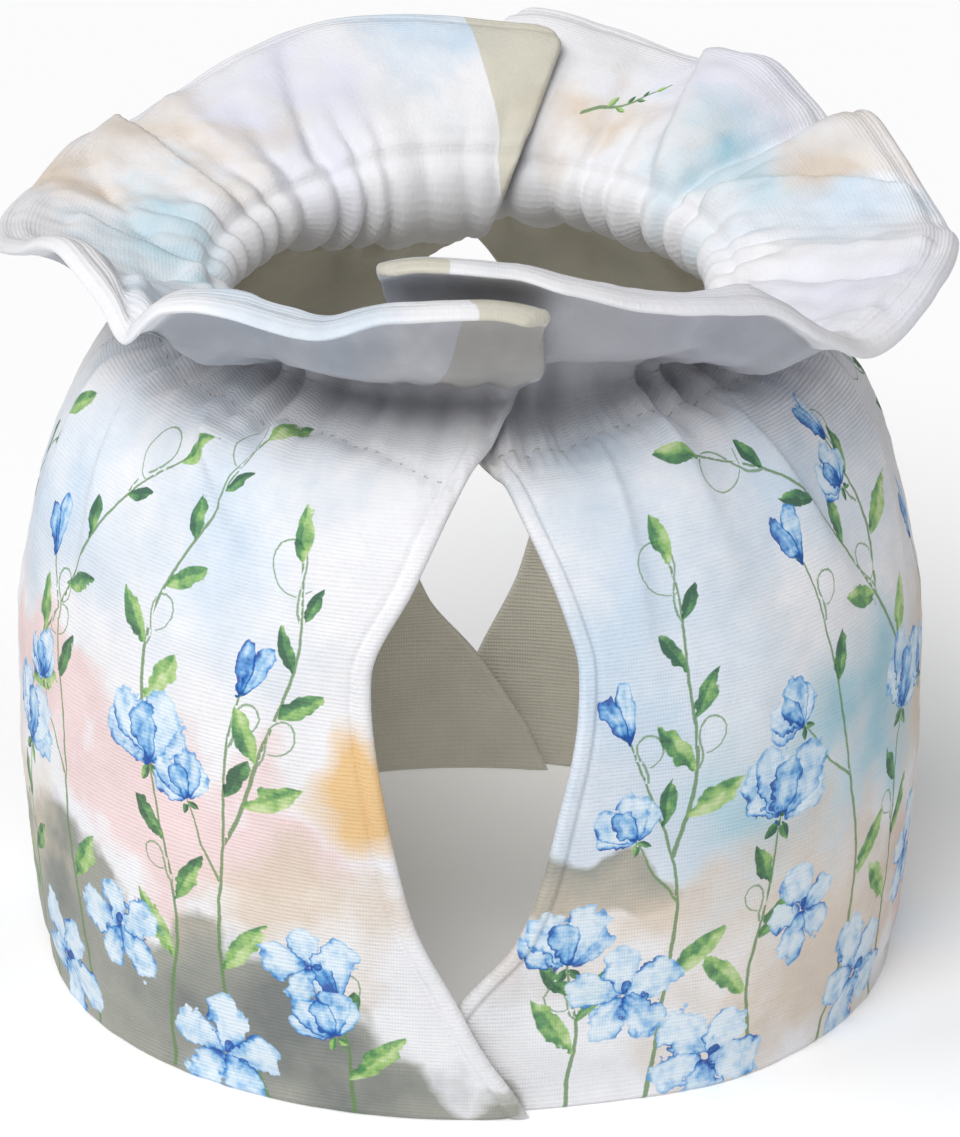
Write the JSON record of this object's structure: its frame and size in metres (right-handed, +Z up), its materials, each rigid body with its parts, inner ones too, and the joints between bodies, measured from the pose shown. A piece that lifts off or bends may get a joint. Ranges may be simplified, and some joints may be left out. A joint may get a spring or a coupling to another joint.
{
  "type": "tea cosy",
  "caption": "Slip-on cloth tea cosy of lapped wrapped halves, with a gathered neck, a flared wavy ruffle and leaf-shaped slits for spout and handle.",
  "frame": {"origin": "on the table, under the middle of the box round the cosy, within 2 mm of the middle of the round hem", "axes": "+Z up, the spout slit faces -Y, the handle slit faces +Y, +X to the right seen from the front"},
  "size_m": [0.1985, 0.1903, 0.1832],
  "materials": {
    "half_left_cloth": "matt printed cotton, off-white with soft washes and blue flowers",
    "half_right_cloth": "matt printed cotton, off-white with soft washes and blue flowers"
  },
  "bodies": {
    "root": {"half_left": "half_left_cloth", "half_right": "half_right_cloth"}
  },
  "joints": []
}
